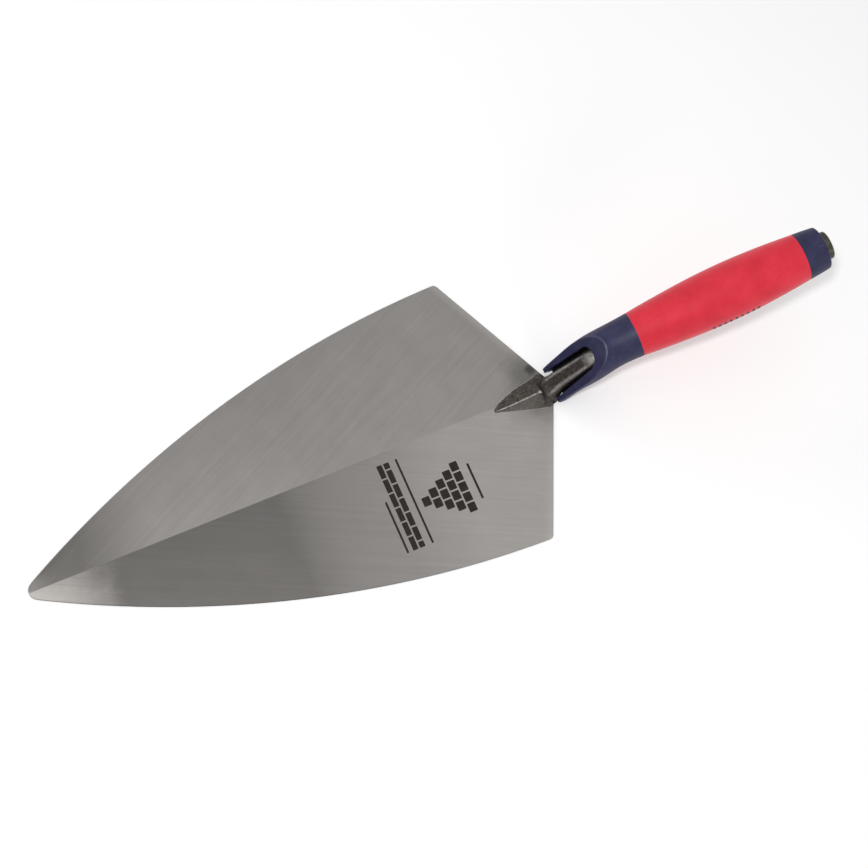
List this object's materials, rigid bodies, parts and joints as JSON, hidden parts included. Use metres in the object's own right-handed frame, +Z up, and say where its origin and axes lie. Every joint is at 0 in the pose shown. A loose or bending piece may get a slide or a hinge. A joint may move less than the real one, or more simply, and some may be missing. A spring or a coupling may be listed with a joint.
{
  "type": "brick trowel",
  "caption": "Brick trowel: pointed flat steel blade with a cranked forged shank, a forked stiff nose and collar, a soft barrel grip and a steel striking cap for tapping bricks.",
  "frame": {"origin": "on the blade's flat underside, on the mirror plane, midway between the blade's tip and its heel apex", "axes": "+X along the blade to its tip, +Y across the blade, +Z up off the blade's flat underside; the handle rises to the rear, towards -X"},
  "size_m": [0.456, 0.1578, 0.0879],
  "materials": {
    "blade_steel": "satin ground steel on the blade, dark forged scale on the bolster and shank",
    "core_plastic": "navy satin moulding",
    "grip_rubber": "red soft-touch rubber",
    "cap_steel": "dark oiled steel",
    "fastener_steel": "zinc plated"
  },
  "bodies": {
    "root": {"blade_forging": "blade_steel", "handle_core": "core_plastic", "grip_sleeve": "grip_rubber", "tang_washer": "fastener_steel", "tang_nut": "fastener_steel", "striking_cap": "cap_steel"}
  },
  "joints": []
}
